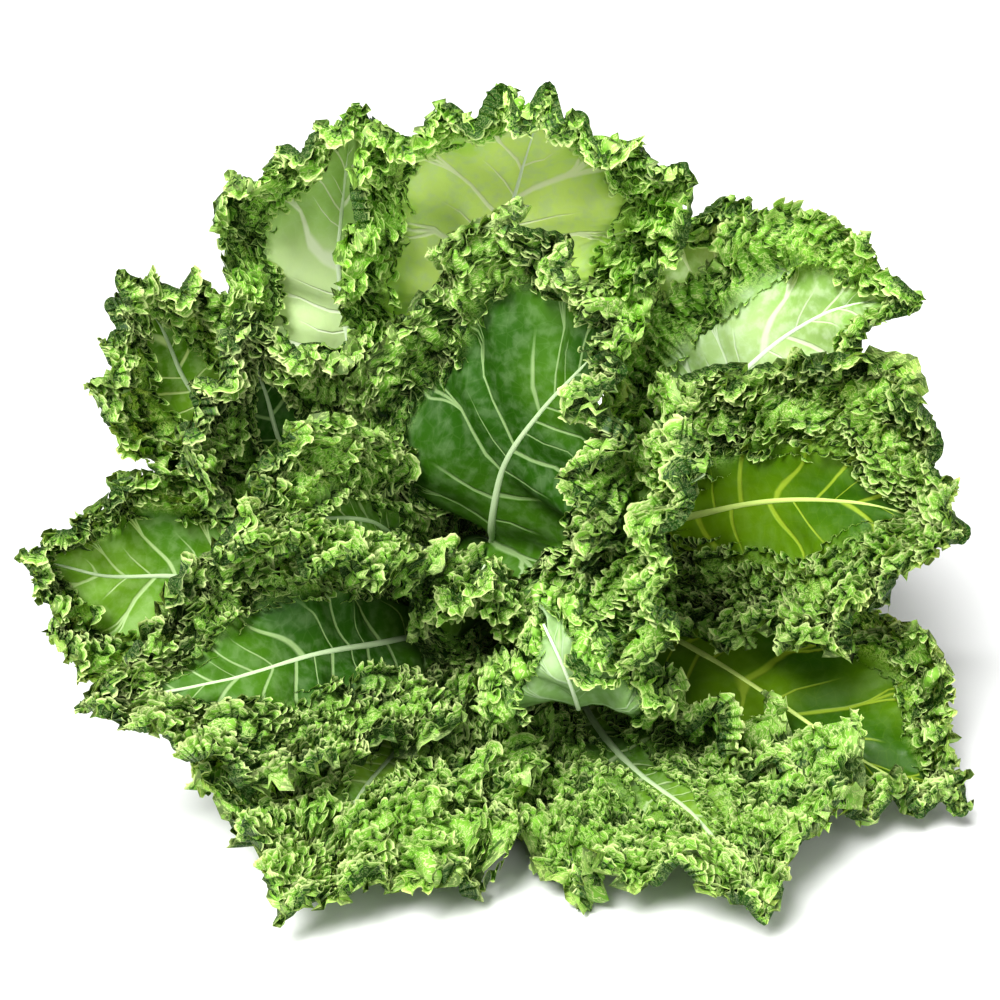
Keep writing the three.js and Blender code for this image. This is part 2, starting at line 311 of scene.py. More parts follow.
def makeLeafMaterial(name, tint):
    material = bpy.data.materials.new(name)
    material.use_nodes = True
    material.node_tree.nodes.clear()
    t = Tree(material.node_tree)
    pattern = t.add("ShaderNodeGroup", node_tree=veinPattern)
    line, net, edge = (pattern.outputs[i] for i in range(3))
    tone = t.add("ShaderNodeSeparateColor")
    given = t.add("ShaderNodeAttribute", attribute_name="tone")
    t.feed(tone.inputs[0], given.outputs["Color"])
    foldShade, patch, frillShare = (tone.outputs[i] for i in range(3))
    mottle = t.noise(t.uv("flat"), leafFinish["mottleScale"], 4.0)
    blade = t.mix(t.remap(patch, 0.25, 0.75), opaque(tint["dark"]), opaque(tint["light"]))
    blade = t.mix(t.math("MULTIPLY", t.remap(mottle, 0.38, 0.72), tint["bloom"]), blade, bloomColor)
    blade = t.mix(t.math("MULTIPLY", net, leafFinish["netShare"]), blade, opaque(tint["vein"]))
    blade = t.mix(t.math("MULTIPLY", line, leafFinish["veinShare"]), blade, opaque(tint["vein"]))
    seen = t.add("ShaderNodeNewGeometry").outputs["Backfacing"]
    blade = t.mix(t.math("MULTIPLY", seen, leafFinish["underShare"]), blade, underColor)
    flips = t.math("MULTIPLY", seen, given.outputs["Alpha"])
    foldShadeSeen = t.math("ABSOLUTE", t.math("SUBTRACT", foldShade, flips))  # painted light on crests and shade in valleys; a crest above is a valley below
    curl = t.noise(t.uv("flat"), leafFinish["curlScale"], 2.0)
    curlAway = t.math("ABSOLUTE", t.math("SUBTRACT", curl, 0.52))
    curlLine = t.math("SUBTRACT", 1.0, t.remap(curlAway, 0.0, 0.075))
    # painted shade: the frill goes dark toward the valleys of its folds, with random curl noise mixed in
    foldShadeAndNoise = t.math("ADD", t.math("MULTIPLY", foldShadeSeen, 0.6), t.math("MULTIPLY", curl, 0.5))
    frillColor = t.mix(t.remap(foldShadeAndNoise, 0.36, 0.68), frillPaintedShade, frillMid)
    # painted highlight along the small curls, strongest on crests
    curlHighlight = t.math("MULTIPLY", curlLine, t.remap(foldShadeSeen, 0.1, 0.7, 0.25, 0.9))
    frillColor = t.mix(curlHighlight, frillColor, frillTipAndHighlight)
    inFrill = t.remap(frillShare, 0.05, 0.4)
    color = t.mix(inFrill, blade, frillColor)
    # the frill's pale rim: partly its own colour, partly a painted highlight that is strongest on crests
    rim = t.math("ADD", edge, t.math("MULTIPLY", mottle, 0.05))
    rim = t.remap(rim, leafFinish["rimFrom"], leafFinish["rimTo"])
    rim = t.math("MULTIPLY", rim, t.remap(foldShadeSeen, 0.05, 0.6, 0.3, 1.0))
    rim = t.math("MULTIPLY", rim, t.remap(given.outputs["Alpha"], 0.0, 1.0, 1.0, 0.3))
    color = t.mix(t.math("MULTIPLY", rim, leafFinish["rimShare"]), color, frillTipAndHighlight)

    bump = t.add("ShaderNodeBump")
    bump.inputs["Strength"].default_value = leafFinish["bump"]
    bump.inputs["Distance"].default_value = leafFinish["relief"] * mm
    relief = t.math("MULTIPLY", line, leafFinish["veinRelief"])
    curls = t.math("MULTIPLY", t.math("MULTIPLY", curlLine, inFrill), leafFinish["curlRelief"])
    relief = t.math("ADD", relief, curls)
    t.feed(bump.inputs["Height"], t.math("ADD", relief, mottle))

    front = t.add("ShaderNodeBsdfPrincipled")
    t.feed(front.inputs["Base Color"], color)
    t.feed(front.inputs["Normal"], bump.outputs[0])
    rough = leafFinish["rough"]
    t.feed(front.inputs["Roughness"], t.remap(mottle, 0.2, 0.8, rough - 0.08, rough + 0.12))
    front.inputs["Specular IOR Level"].default_value = leafFinish["specular"]
    through = t.add("ShaderNodeBsdfTranslucent")
    t.feed(through.inputs["Color"], t.mix(1.0, color, throughTint, "MULTIPLY"))
    both = t.add("ShaderNodeMixShader")
    both.inputs[0].default_value = tint["glow"]  # share of light that passes through
    t.feed(both.inputs[1], front.outputs[0])
    t.feed(both.inputs[2], through.outputs[0])
    plain = t.add("ShaderNodeBsdfDiffuse")  # enough for the light that leaves throw on each other
    plain.inputs["Color"].default_value = opaque([(a + b) / 2 for a, b in zip(tint["dark"], tint["light"])])
    sight = t.add("ShaderNodeMixShader")
    t.feed(sight.inputs[0], t.add("ShaderNodeLightPath").outputs["Is Diffuse Ray"])
    t.feed(sight.inputs[1], both.outputs[0])
    t.feed(sight.inputs[2], plain.outputs[0])
    ends = t.add("ShaderNodeOutputMaterial")
    t.feed(ends.inputs["Surface"], sight.outputs[0])
    return material


stemFinish = {
    "stem": {"pale": (0.68, 0.82, 0.50, 1), "green": (0.50, 0.69, 0.32, 1), "rib": (0.62, 0.78, 0.46, 1)},
    "stemLight": {"pale": (0.68, 0.82, 0.50, 1), "green": (0.50, 0.69, 0.32, 1), "rib": (0.84, 0.95, 0.70, 1)},
    "stemYellow": {"pale": (0.60, 0.75, 0.28, 1), "green": (0.44, 0.63, 0.16, 1), "rib": (0.62, 0.78, 0.22, 1)},
}


# The stem and midrib: fibres that run along it, paler where it is thick
def makeStemMaterial(name, finish):
    material = bpy.data.materials.new(name)
    material.use_nodes = True
    t = Tree(material.node_tree)
    shader = material.node_tree.nodes["Principled BSDF"]
    stretch = t.add("ShaderNodeMapping")
    stretch.inputs["Scale"].default_value = (9.0, 1.1, 1.0)
    t.feed(stretch.inputs["Vector"], t.uv("rays"))
    fibres = t.noise(stretch.outputs[0], 3.0, 4.0)
    color = t.mix(t.remap(fibres, 0.3, 0.7), finish["green"], finish["pale"])
    given = t.add("ShaderNodeSeparateColor")
    t.feed(given.inputs[0], t.add("ShaderNodeAttribute", attribute_name="tone").outputs["Color"])
    color = t.mix(t.remap(given.outputs[0], 0.0, 0.3), color, finish["rib"])
    t.feed(shader.inputs["Base Color"], color)
    bump = t.add("ShaderNodeBump")
    bump.inputs["Distance"].default_value = 0.3 * mm
    bump.inputs["Strength"].default_value = 0.5
    t.feed(bump.inputs["Height"], fibres)
    t.feed(shader.inputs["Normal"], bump.outputs[0])
    shader.inputs["Roughness"].default_value = 0.45
    return material


leafMaterials = {name: makeLeafMaterial(name, tint) for name, tint in leafTints.items()}
stemMaterials = {name: makeStemMaterial(name, finish) for name, finish in stemFinish.items()}

print("stage: leaves")

stem = {
    "cutY": 205, "cutAxisZ": 25.6, "pitchAtCut": 12.6, "radiusAtCut": 5.8,
    "bandAxisZ": 36, "pitchAtBand": 10.2, "radiusAtBand": 4.7,
    "radiusAtBlade": 3.4, "radiusAtTip": 0.55,
    "sides": 14, "step": 4.0,
    "groove": 0.14, "ridges": 0.02,  # of the radius
    "sunkShare": 0.35,  # of the radius, in the blade
    "sunkOver": 15,  # mm
    "stopsBefore": 0.06,  # of the leaf's length
}

blade = {
    "wavesPerSide": 18,
    "waveShareOfWidth": 0.16,
    "openAngle": 76,
    "baseReach": 0.22, "tipReach": 0.4,
    "lobeDepth": 0.1, "lobesPerSide": 3,
    "columnStep": 0.6,  # mm along the edge
    "rowStep": 1.6,  # mm across the frill
    "mostFaces": 6000,  # in the frill
    "coarseRows": 5, "middleRows": 3,
    "pucker": 3.4, "sway": 5.0, "curl": 0.2, "billow": 9.0,
    "wing": 42,  # mm that the frilled blade runs down the stem
    "sinkOver": 60,  # mm along the blade
}

# Frill waves on waves, in mm: length along the edge, height, how far each loop leans over, and the
# share of the frill's width where each begins
frill = [
    {"length": 8.6, "height": 3.6, "lean": 1.1, "start": 0.0, "power": 0.8},
    {"length": 3.9, "height": 2.4, "lean": 0.55, "start": 0.04, "power": 0.65},
    {"length": 1.9, "height": 1.2, "lean": 0.2, "start": 0.12, "power": 0.7},
]
frillStart = {  # share of the way from midrib to edge where each leaf's frill begins, on its two sides
    "leaf_top": (0.58, 0.58), "leaf_upper_left": (0.5, 0.5), "leaf_upper_back": (0.5, 0.5),
    "leaf_left_upper": (0.24, 0.24), "leaf_left_middle": (0.16, 0.16), "leaf_centre": (0.54, 0.54),
    "leaf_upper_right": (0.48, 0.48), "leaf_left_edge": (0.52, 0.52), "leaf_inner_left": (0.08, 0.08),
    "leaf_small_centre": (0.4, 0.4), "leaf_inner_right": (0.12, 0.12), "leaf_right": (0.25, 0.3),
    "leaf_lower_left": (0.2, 0.36), "leaf_small_front": (0.62, 0.62), "leaf_lower_right": (0.58, 0.58),
    "leaf_floor_left": (0.02, 0.02), "leaf_floor_right": (0.02, 0.02),
}
tooth = {"length": 1.55, "height": 1.1}

# Each leaf: its colour slot and the look it takes where that isn't the slot's own, its place in the band, the
# length and half width of its blade, the way it faces, its cup, and its midrib's points. spread widens it,
# short, sink and calm make it shorter, lower and less billowed in mm, mm and shares, bareFrom bares its base,
# and ruffleSide turns its ruffles to the other side.
leaves = [
    {"name": "leaf_top", "tint": "leaf_green", "look": "topPaintedLight", "spread": 1.12, "veinSpacing": 34,
     "slot": (0, 2), "length": 205, "width": 76,
     "face": (0.06, -1, 0.1), "cup": 0.18,
     "rib": [(-8, 58, 116), (-6, 48, 180), (3, 38, 225), (12, 24, 262), (20, 0, 300)]},
    {"name": "leaf_upper_left", "tint": "leaf_pale", "look": "backPaintedLight",
     "slot": (-1, 2), "length": 188, "width": 60,
     "face": (0.2, -1, 0.1), "cup": -0.1,
     "rib": [(-44, 76, 96), (-67, 72, 142), (-74, 68, 193), (-71, 62, 227), (-64, 52, 278)]},
    {"name": "leaf_upper_back", "tint": "leaf_pale", "spread": 1.35,
     "slot": (1, 2), "length": 150, "width": 40,
     "face": (-0.2, -1, 0), "cup": 0,
     "rib": [(48, 78, 84), (86, 80, 140), (102, 76, 190), (112, 66, 226)]},
    {"name": "leaf_left_upper", "tint": "leaf_green",
     "slot": (-1.5, 1), "length": 190, "width": 46,
     "face": (0.2, -0.9, 0.3), "cup": 0.2,
     "rib": [(-66, 60, 80), (-138, 38, 142), (-152, 28, 181), (-170, 12, 214)]},
    {"name": "leaf_left_middle", "tint": "leaf_deep",
     "slot": (-0.5, 1), "length": 180, "width": 50,
     "face": (0.3, -0.9, 0.2), "cup": 0.2,
     "rib": [(-38, 45, 80), (-92, 10, 120), (-103, -6, 164), (-112, -26, 208)]},
    {"name": "leaf_centre", "tint": "leaf_deep", "spread": 1.36, "veinSpacing": 32,
     "slot": (0.5, 1), "length": 205, "width": 66,
     "face": (-0.1, -0.8, 0.6), "cup": 0.2,
     "rib": [(-4, 8, 88), (2, -12, 130), (17, -28, 161), (34, -45, 188), (50, -76, 218)]},
    {"name": "leaf_upper_right", "tint": "leaf_pale", "spread": 1.28,
     "slot": (1.5, 1), "length": 190, "width": 42,
     "face": (-0.2, -0.9, 0.5), "cup": -0.3,
     "rib": [(64, 52, 98), (104, 34, 150), (130, 24, 179), (154, 12, 196), (180, -6, 202)]},
    {"name": "leaf_left_edge", "tint": "leaf_deep", "look": "edgePaintedLight",
     "slot": (-2, 0), "length": 178, "width": 54,
     "face": (0.1, -0.9, 0.4), "cup": 0.1,
     "rib": [(-94, 36, 42), (-150, 16, 62), (-179, 4, 68), (-198, -2, 76), (-218, -8, 84)]},
    {"name": "leaf_inner_left", "tint": "leaf_green",
     "slot": (-1, 0), "length": 205, "width": 48,
     "face": (0.2, -0.7, 0.7), "cup": 0.5,
     "rib": [(-40, 6, 82), (-58, -44, 118), (-82, -82, 134), (-114, -114, 134)]},
    {"name": "leaf_small_centre", "tint": "leaf_green",
     "slot": (0, 0), "length": 120, "width": 28,
     "face": (0.2, -1, 0.3), "cup": 0.2,
     "rib": [(-5, 40, 49), (-11, 2, 56), (-17, -34, 70), (-12, -56, 90), (-4, -66, 112)]},
    {"name": "leaf_inner_right", "tint": "leaf_green", "spread": 1.24,
     "slot": (1, 0), "length": 210, "width": 52,
     "face": (-0.3, -0.5, 0.6), "cup": -0.6,
     "rib": [(27, 0, 66), (43, -42, 101), (62, -82, 140), (86, -118, 176)]},
    {"name": "leaf_right", "tint": "leaf_bright", "spread": 1.12, "veinSpacing": 36, "bareFrom": 0.5,
     "slot": (2, 0), "length": 200, "width": 68,
     "face": (-0.2, -0.9, 0.4), "cup": 0.3,
     "rib": [(65, 30, 80), (115, -12, 112), (140, -32, 122), (162, -48, 126), (196, -68, 122)]},
    {"name": "leaf_lower_left", "tint": "leaf_green", "look": "leaf_deep",
     "slot": (-1.5, -1), "length": 235, "width": 60,
     "face": (0.1, -0.75, 0.65), "cup": 0.3,
     "rib": [(-20, 34, 30), (-46, -40, 58), (-78, -84, 74), (-112, -110, 76), (-170, -126, 72)]},
    {"name": "leaf_small_front", "tint": "leaf_pale", "spread": 1.25, "ruffleSide": -1,
     "slot": (0.5, -1), "length": 190, "width": 36,
     "face": (0, 0.7, 0.7), "cup": -0.2,
     "rib": [(16, 20, 30), (30, -40, 38), (33, -90, 52), (26, -110, 82), (13, -104, 110)]},
    {"name": "leaf_lower_right", "tint": "leaf_bright", "spread": 1.12, "veinSpacing": 36,
     "slot": (1.5, -1), "length": 210, "width": 66,
     "face": (0, -0.38, 0.92), "cup": 0.6,
     "rib": [(48, 24, 40), (83, -12, 42), (122, -48, 32), (160, -82, 19), (196, -106, 10)]},
    {"name": "leaf_floor_left", "tint": "leaf_green", "spread": 1.1, "short": 9,
     "slot": (-1, -2), "length": 235, "width": 66,
     "face": (0, -0.4, 0.9), "cup": -0.4,
     "rib": [(-28, 20, 12), (-42, -70, 24), (-57, -128, 33), (-72, -166, 24), (-88, -196, 5)]},
    {"name": "leaf_floor_right", "tint": "leaf_green", "spread": 1.08, "short": 9, "calm": 0.7, "sink": 6,
     "slot": (1, -2), "length": 240, "width": 72,
     "face": (0, -0.4, 0.9), "cup": -0.4,
     "rib": [(30, 20, 10), (57, -70, 17), (80, -130, 28), (94, -168, 26), (106, -196, 5)]},
]


def stemPlace(slot, pitch, axisZ, y):
    return np.array([slot[0] * pitch, y, axisZ + slot[1] * math.sqrt(3) / 2 * pitch])


# A smooth run through points, as evenly spaced points with their distances
def smoothRun(points, spacing=0.5):
    points = [np.array(p, float) for p in points]
    padded = [2 * points[0] - points[1], *points, 2 * points[-1] - points[-2]]
    share = np.linspace(0, 1, 80, endpoint=False)[:, None]
    pieces = []
    for a, b, c, d in zip(padded, padded[1:], padded[2:], padded[3:]):
        before, here, after = (math.sqrt(np.linalg.norm(q - p)) for p, q in ((a, b), (b, c), (c, d)))
        startPull = ((b - a) / before - (c - a) / (before + here) + (c - b) / here) * here
        endPull = ((c - b) / here - (d - b) / (here + after) + (d - c) / after) * here
        pieces.append(b + startPull * share + (-3 * b + 3 * c - 2 * startPull - endPull) * share ** 2
                      + (2 * b - 2 * c + startPull + endPull) * share ** 3)
    run = np.concatenate([*pieces, [points[-1]]])
    far = np.concatenate([[0], np.cumsum(np.linalg.norm(np.diff(run, axis=0), axis=1))])
    even = np.linspace(0, far[-1], int(far[-1] / spacing) + 1)
    return even, np.stack([np.interp(even, far, run[:, i]) for i in range(3)], axis=1)


def unit(vectors):
    return vectors / np.linalg.norm(vectors, axis=-1, keepdims=True)


# The midrib with its directions at any distance from the cut end
class Midrib:
    def __init__(self, leaf):
        cut = stemPlace(leaf["slot"], stem["pitchAtCut"], stem["cutAxisZ"], stem["cutY"])
        held = stemPlace(leaf["slot"], stem["pitchAtBand"], stem["bandAxisZ"], bandY)
        halfway = cut + (held - cut) * 0.6
        pastBand = held + (held - halfway) * 0.5
        self.far, self.run = smoothRun([cut, halfway, held, pastBand, *leaf["rib"]])
        self.total = self.far[-1]
        self.bladeStart = self.total - leaf["length"]
        self.slope = unit(np.gradient(self.run, self.far, axis=0))
        self.face = np.array(leaf["face"], float)

    def at(self, distance):
        distance = np.clip(distance, 0, self.total)
        origin = np.stack([np.interp(distance, self.far, self.run[:, i]) for i in range(3)], axis=-1)
        along = unit(np.stack([np.interp(distance, self.far, self.slope[:, i]) for i in range(3)], axis=-1))
        out = unit(self.face - along * (along @ self.face)[..., None])
        return origin, along, np.cross(along, out), out


# Smooth random values on a plane, between -1 and 1
class Ripple:
    cells = 64

    def __init__(self, rng):
        self.table = rng.uniform(-1, 1, (self.cells, self.cells))

    def __call__(self, x, y=0.0):
        x, y = np.broadcast_arrays(np.asarray(x, float), np.asarray(y, float))
        column, row = np.floor(x).astype(int), np.floor(y).astype(int)
        across, up = x - column, y - row
        across, up = (f * f * (3 - 2 * f) for f in (across, up))
        left, right = column % self.cells, (column + 1) % self.cells
        value = self.pick(row, left) * (1 - across) + self.pick(row, right) * across
        above = self.pick(row + 1, left) * (1 - across) + self.pick(row + 1, right) * across
        return value * (1 - up) + above * up

    def pick(self, row, column):
        return self.table[row % self.cells, column]


# The large waves of the edge: the same repeatable heights that the solid has
def edgeWave(leaf):
    span = 2 ** 32
    state = len(leaf["name"]) * 7919 + round(leaf["width"] * 31 + leaf["length"])
    sides = []
    for _ in range(2):
        heights = []
        for step in range(blade["wavesPerSide"] + 1):
            state = (state * 1664525 + 1013904223) % span
            size = leaf["width"] * blade["waveShareOfWidth"] * (0.75 + 0.5 * state / span)
            heights.append(size if step % 2 else -size)
        sides.append(np.array(heights))
    return sides


def waveAt(heights, share):
    place = share * blade["wavesPerSide"]
    step = np.clip(np.floor(place).astype(int), 0, blade["wavesPerSide"] - 1)
    ease = place - step
    ease = ease * ease * (3 - 2 * ease)
    return heights[step] * (1 - ease) + heights[step + 1] * ease


def reachAt(leaf, share):
    body = np.clip(np.sin(np.pi * share ** 1.35), 0, 1)
    rise = blade["baseReach"] + (1 - blade["baseReach"]) * body ** 0.8
    lobe = 1 + blade["lobeDepth"] * np.cos(2 * np.pi * blade["lobesPerSide"] * share)
    return leaf["width"] * (rise * lobe * (1 - share ** 6) + blade["tipReach"] * share ** 6)


# A flat sheet of rays: x goes round the edge from 0 to 2, y goes from midrib to edge, and the columns
# double twice on the way out, because the frill needs many more than the blade
def growSheet(columns, rows, middleRows, fineRows):
    bm = bmesh.new()
    bmesh.ops.create_grid(bm, x_segments=columns // 4, y_segments=len(rows) - 1, size=1)
    for vert in bm.verts:
        row = round((vert.co.y + 1) / 2 * (len(rows) - 1))
        vert.co = (vert.co.x + 1, rows[row], 0)
    rim = [e for e in bm.edges if all(abs(v.co.y - rows[-1]) < 1e-6 for v in e.verts)]
    for nextRows in (middleRows, fineRows):
        split = bmesh.ops.subdivide_edges(bm, edges=rim, cuts=1)
        rim = [g for g in split["geom_split"] if isinstance(g, bmesh.types.BMEdge)]
        level = rim[0].verts[0].co.y
        rim = [e for e in rim if all(abs(v.co.y - level) < 1e-6 for v in e.verts)]
        for y in nextRows:
            grown = bmesh.ops.extrude_edge_only(bm, edges=rim)["geom"]
            for vert in (g for g in grown if isinstance(g, bmesh.types.BMVert)):
                vert.co.y = y
            rim = [g for g in grown if isinstance(g, bmesh.types.BMEdge)]
    mesh = bpy.data.meshes.new("blade")
    bm.to_mesh(mesh)
    bm.free()
    return mesh


def readPoints(mesh):
    points = np.empty(len(mesh.vertices) * 3)
    mesh.vertices.foreach_get("co", points)
    return points.reshape(-1, 3)


def writePoints(mesh, points):
    mesh.vertices.foreach_set("co", points.ravel())
    mesh.update()


def readNormals(mesh):
    normals = np.empty(len(mesh.vertices) * 3)
    mesh.vertex_normals.foreach_get("vector", normals)
    return normals.reshape(-1, 3)


def addUv(mesh, name, perVertex):
    corners = np.empty(len(mesh.loops), int)
    mesh.loops.foreach_get("vertex_index", corners)
    layer = mesh.uv_layers.new(name=name)
    layer.data.foreach_set("uv", perVertex[corners].ravel())


# Painted light and shade by fold (light on crests, dark in valleys), patch and share of frill. flips says whether
# the other side swaps crest and valley.
def addTone(mesh, values, flips=1.0):
    layer = mesh.attributes.new("tone", "FLOAT_COLOR", "POINT")
    layer.data.foreach_set("color", np.column_stack([*values, np.full(len(mesh.vertices), flips)]).ravel())


# The blade as a surface: where each place round its edge (0 to 2) and out from its midrib (0 to 1) lies
class Surface:
    def __init__(self, leaf, midrib, rng):
        self.leaf, self.midrib = leaf, midrib
        self.ripple = Ripple(rng)
        self.rootEnd = leaf["length"] - leaf["width"] * blade["tipReach"] - leaf.get("short", 0)
        self.heights = edgeWave(leaf)
        self.samples = np.linspace(0, 2, 2001)
        edge = self.flatPlace(self.samples, 1.0)
        self.edgeFar = np.concatenate([[0], np.cumsum(np.hypot(*(np.diff(line) for line in edge)))])
        self.edgeway = unit(np.stack([np.gradient(line, self.samples) for line in edge], axis=1))

    def sideAndShare(self, around):
        return np.where(around <= 1, -1.0, 1.0), np.clip(np.where(around <= 1, around, 2 - around), 0, 1)

    def flatPlace(self, around, ring, extra=0.0):
        side, share = self.sideAndShare(around)
        reach = reachAt(self.leaf, share) * self.leaf.get("spread", 1.06)
        angle = math.radians(blade["openAngle"]) * (1 - share ** 3.2)
        out = reach * ring * (1 - 0.6 * (1 - share) ** 14) + extra
        down = blade["wing"] * (1 - share) ** 12
        return self.rootEnd * share - down + out * np.cos(angle), side * out * np.sin(angle)

    def at(self, around, ring, extra=0.0):
        leaf, ripple = self.leaf, self.ripple
        a, b = self.flatPlace(around, ring, extra)
        side, share = self.sideAndShare(around)
        origin, along, across, out = self.midrib.at(self.midrib.bladeStart + a)
        bend = leaf["cup"] / leaf["width"] if leaf["cup"] else 1e-6
        turn = b * bend
        normal = out * np.cos(turn)[:, None] - across * np.sin(turn)[:, None]
        points = origin + across * (np.sin(turn) / bend)[:, None] + out * ((1 - np.cos(turn)) / bend)[:, None]
        veinsPerSide = max(round(self.rootEnd / leaf.get("veinSpacing", 25)), 3)
        veinPlace = share * veinsPerSide + np.where(side > 0, 0.45, 0.0)
        veinPlace = veinPlace + ripple(a / 24 + 3, b / 24) * 0.22 * np.clip(ring / 0.35, 0, 1)
        veinPlace = veinPlace + ripple(share * 7 + 2, side * 3 + 50) * 0.3
        wave = np.where(side > 0, waveAt(self.heights[0], share), waveAt(self.heights[1], share))
        begin = np.interp(b / leaf["width"], (-0.3, 0.3), frillStart[leaf["name"]])
        begin = begin * np.clip(share / leaf.get("bareFrom", 0.001), 0, 1) ** 3
        inFrill = np.clip((ring - begin) / (1 - begin), 0, 1)
        lift = wave * ring ** 4.2 * (1 - 0.6 * share ** 10) + blade["curl"] * leaf["width"] * inFrill ** 2
        between = 0.5 + 0.5 * np.cos(2 * np.pi * veinPlace)
        inner = np.clip(ring / 0.3, 0, 1) * np.clip((0.95 - ring) / 0.4, 0, 1)
        lift = lift + blade["pucker"] * between * inner
        lift = lift + ripple(a / 22 + 11, b / 22) * blade["sway"] * np.clip(ring / 0.4, 0, 1)
        billow = ripple(a / 9.5 + 41, b / 9.5 + 13) * np.clip(inFrill * 2.5, 0, 1)
        lift = lift + billow * blade["billow"] * leaf.get("calm", 1)
        lift = lift - leaf.get("sink", 0) * np.clip(a / blade["sinkOver"], 0, 1)
        onward = [np.interp(around, self.samples, self.edgeway[:, i])[:, None] for i in range(2)]
        return {"points": points + normal * lift[:, None], "normal": normal, "a": a, "b": b,
                "onward": along * onward[0] + across * onward[1], "veinPlace": veinPlace, "inFrill": inFrill,
                "billow": billow, "outward": ring * reachAt(leaf, share)}


def bladeMesh(leaf, surface):
    perimeter = 2 * leaf["length"] + leaf["width"]
    fineFrom = min(frillStart[leaf["name"]]) + 0.05
    columns = perimeter / blade["columnStep"]
    fineRows = (1 - fineFrom) * leaf["width"] / blade["rowStep"]
    fewer = math.sqrt(max(columns * fineRows / blade["mostFaces"], 1))
    columns, fineRows = int(columns / fewer / 4) * 4, int(fineRows / fewer)
    mesh = growSheet(columns, np.linspace(0, fineFrom - 0.05, blade["coarseRows"]).tolist(),
                     np.linspace(fineFrom - 0.05, fineFrom + 0.1, blade["middleRows"] + 1)[1:].tolist(),
                     np.linspace(fineFrom + 0.1, 1, fineRows + 1)[1:].tolist())
    sheet = readPoints(mesh)
    around, ring = sheet[:, 0].copy(), sheet[:, 1].copy()
    along = np.interp(around, surface.samples, surface.edgeFar)  # mm along the edge
    ripple = surface.ripple
    bite = ripple(along / 13, 7.3) * 0.06 * leaf["width"] * np.clip((ring - 0.6) / 0.4, 0, 1)
    point = np.abs(2 * ((along / tooth["length"] + ripple(along / 5, 3.1)) % 1) - 1) - 0.5
    bite = bite + point * tooth["height"] * np.clip((ring - 0.96) / 0.04, 0, 1)
    spot = surface.at(around, ring, bite)
    points = spot["points"]
    writePoints(mesh, points)
    if np.mean(np.sum(readNormals(mesh) * spot["normal"], axis=1)) < 0:
        mesh.flip_normals()

    size = 0.7 + 0.3 * leaf["width"] / 66
    # painted light and shade: lighter where the frill billows up and on the crests of its waves, darker in their
    # valleys and a little darker toward the edge
    foldShade = 0.6 * spot["billow"] - 0.1 * spot["inFrill"]
    for i, octave in enumerate(frill):
        normals = readNormals(mesh)
        length = octave["length"]
        bend = ripple(along / (1.3 * length) + 5 * i, spot["outward"] / (1.0 * length) + 17) * 3.4
        bend = bend + ripple(along / (6 * length) + 8 * i, spot["outward"] / (4 * length) + 29) * 3.0
        swell = 0.85 + 0.5 * ripple(along / (1.7 * length) + 9 * i, spot["outward"] / (1.6 * length) + 31)
        grow = np.clip((spot["inFrill"] - octave["start"]) / (1 - octave["start"]), 0, 1) ** octave["power"]
        phase = 2 * np.pi * along / length + bend
        push = np.sin(phase) * octave["height"] * size * swell * grow
        lean = -np.sin(2 * phase) * octave["lean"] * size * grow
        points = points + normals * push[:, None] + spot["onward"] * lean[:, None]
        foldShade += np.sin(phase) * grow * (0.42, 0.26, 0.14)[i]
        writePoints(mesh, points)
    writePoints(mesh, aboveFloor(points))
    addUv(mesh, "rays", np.stack([spot["veinPlace"], ring], axis=1))
    addUv(mesh, "flat", np.stack([spot["a"], spot["b"]], axis=1) / 10)
    patch = ripple(spot["a"] / 34, spot["b"] / 34 + 9) * 0.5 + 0.5
    addTone(mesh, (foldShade * 0.5 + 0.5, patch, spot["inFrill"]))
    return mesh


# Points pressed softly onto the floor where they would go through it, in metres
def aboveFloor(points, soft=4.0):
    low = points[:, 2] < soft
    points[low, 2] = soft * np.exp((points[low, 2] - soft) / soft)
    return (points + layoutShift) * mm


# The crowded margin stands up in rows of loops, each with a thin toothed rim
ruffle = {
    "apart": 5.5, "height": 6.0, "foot": 2.6,
    "loop": 5.7, "swing": 2.5, "roll": 1.25, "lean": 0.3,
    "smallLoop": 2.3, "smallSwing": 0.8, "tooth": 1.5,
    "step": 0.43, "rows": 2,
    "least": 0.4,  # mm of foot where the frill begins
    "hidden": 0.7,  # mm that a row sinks where there is no frill
    "last": 0.97,  # share of the way from midrib to edge
}


